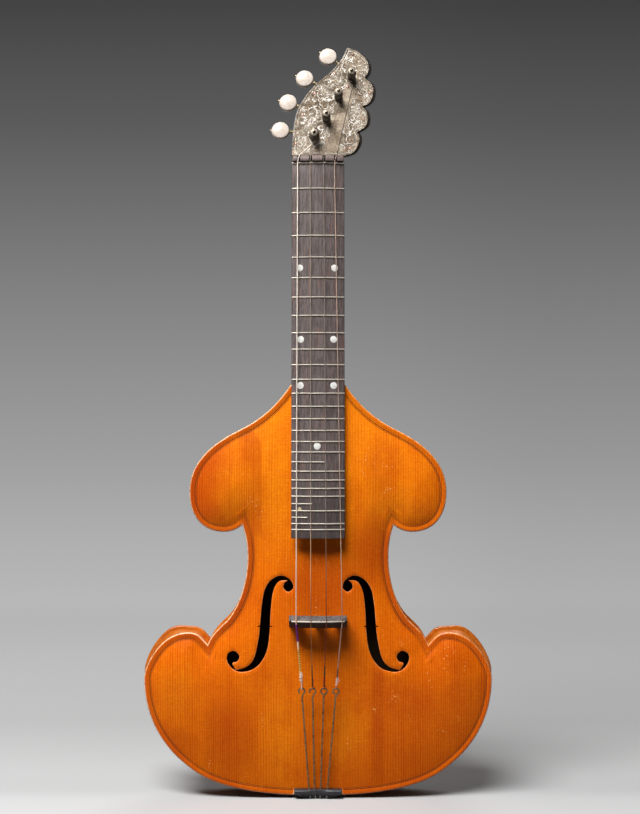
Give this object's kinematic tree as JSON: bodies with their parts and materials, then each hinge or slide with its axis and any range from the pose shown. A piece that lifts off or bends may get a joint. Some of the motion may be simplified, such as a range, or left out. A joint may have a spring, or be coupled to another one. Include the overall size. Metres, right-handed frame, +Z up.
{
  "type": "bowed zither",
  "caption": "Heart-shouldered bowed zither with a hollow waisted body, fretted neck, metal head plate and worm-geared tuners.",
  "frame": {"origin": "on the flat underside of the end foot, in the middle of the body's width and of the rib depth", "axes": "+Z runs up the neck as the instrument stands on its foot; the soundboard faces -Y and +X is the viewer's right; +Y is the back's outward normal"},
  "size_m": [0.2544, 0.0723, 0.5421],
  "materials": {
    "spruce": "orange varnish over straight grain",
    "maple": "red-brown varnish",
    "lime": "bare wood",
    "rosewood": "oiled",
    "ebony": "polished black",
    "nickel": "engraved and tarnished nickel silver",
    "brass": "plain",
    "steel": "dull",
    "dark_steel": "brown with age",
    "silver": "overspun, bright",
    "copper": "overspun, pinkish",
    "pearl": "polished mother-of-pearl"
  },
  "bodies": {
    "frame": {"soundboard": "spruce", "back_plate": "maple", "rib_lower_left": "maple", "rib_lower_right": "maple", "rib_waist_left": "maple", "rib_waist_right": "maple", "rib_upper_left": "maple", "rib_upper_right": "maple", "neck_block": "lime", "end_block": "lime", "front_lining": "lime", "back_lining": "lime", "bass_bar": "lime", "soundpost": "lime", "corner_block_lower_left": "lime", "corner_block_lower_right": "lime", "corner_block_upper_left": "lime", "corner_block_upper_right": "lime", "neck": "maple", "fingerboard": "rosewood", "nut": "rosewood", "zero_fret": "nickel", "bridge": "ebony", "bridge_saddle": "nickel", "end_saddle": "ebony", "head_plate": "nickel", "tuner_bed": "brass", "string_1": "silver", "tail_hook_1": "steel", "string_2": "dark_steel", "tail_hook_2": "steel", "string_3": "dark_steel", "tail_hook_3": "steel", "string_4": "copper", "tail_hook_4": "steel"},
    "turner_1": {"worm_1": "steel", "button_1": "pearl"},
    "spindle_1": {"post_1": "nickel", "gear_1": "brass", "winding_1": "silver"},
    "turner_2": {"worm_2": "steel", "button_2": "pearl"},
    "spindle_2": {"post_2": "nickel", "gear_2": "brass", "winding_2": "dark_steel"},
    "turner_3": {"worm_3": "steel", "button_3": "pearl"},
    "spindle_3": {"post_3": "nickel", "gear_3": "brass", "winding_3": "dark_steel"},
    "turner_4": {"worm_4": "steel", "button_4": "pearl"},
    "spindle_4": {"post_4": "nickel", "gear_4": "brass", "winding_4": "copper"}
  },
  "joints": [
    {"name": "button_1_turn", "type": "hinge", "parent": "frame", "child": "turner_1", "pos_m": [-0.00246, 0.00202, 0.4772], "axis": [-0.9982, 0.0147, 0.0589], "continuous": true},
    {"name": "post_1_turn", "type": "hinge", "parent": "frame", "child": "spindle_1", "pos_m": [-0.0028, -0.00282, 0.47265], "axis": [0, -0.9703, 0.2419], "continuous": true},
    {"name": "button_2_turn", "type": "hinge", "parent": "frame", "child": "turner_2", "pos_m": [0.00748, 0.00555, 0.49135], "axis": [-0.9592, 0.0684, 0.2742], "continuous": true},
    {"name": "post_2_turn", "type": "hinge", "parent": "frame", "child": "spindle_2", "pos_m": [0.0059, 0.00076, 0.48701], "axis": [0, -0.9703, 0.2419], "continuous": true},
    {"name": "button_3_turn", "type": "hinge", "parent": "frame", "child": "turner_3", "pos_m": [0.01679, 0.00962, 0.50767], "axis": [-0.9276, 0.0903, 0.3624], "continuous": true},
    {"name": "post_3_turn", "type": "hinge", "parent": "frame", "child": "spindle_3", "pos_m": [0.0147, 0.00487, 0.5035], "axis": [0, -0.9703, 0.2419], "continuous": true},
    {"name": "button_4_turn", "type": "hinge", "parent": "frame", "child": "turner_4", "pos_m": [0.02722, 0.01333, 0.52254], "axis": [-0.8416, 0.1307, 0.5241], "continuous": true},
    {"name": "post_4_turn", "type": "hinge", "parent": "frame", "child": "spindle_4", "pos_m": [0.0242, 0.00869, 0.51883], "axis": [0, -0.9703, 0.2419], "continuous": true}
  ],
  "couplings": [
    {"joint": "post_1_turn", "follows": "button_1_turn", "ratio": -0.0625},
    {"joint": "post_2_turn", "follows": "button_2_turn", "ratio": -0.0625},
    {"joint": "post_3_turn", "follows": "button_3_turn", "ratio": -0.0625},
    {"joint": "post_4_turn", "follows": "button_4_turn", "ratio": -0.0625}
  ]
}
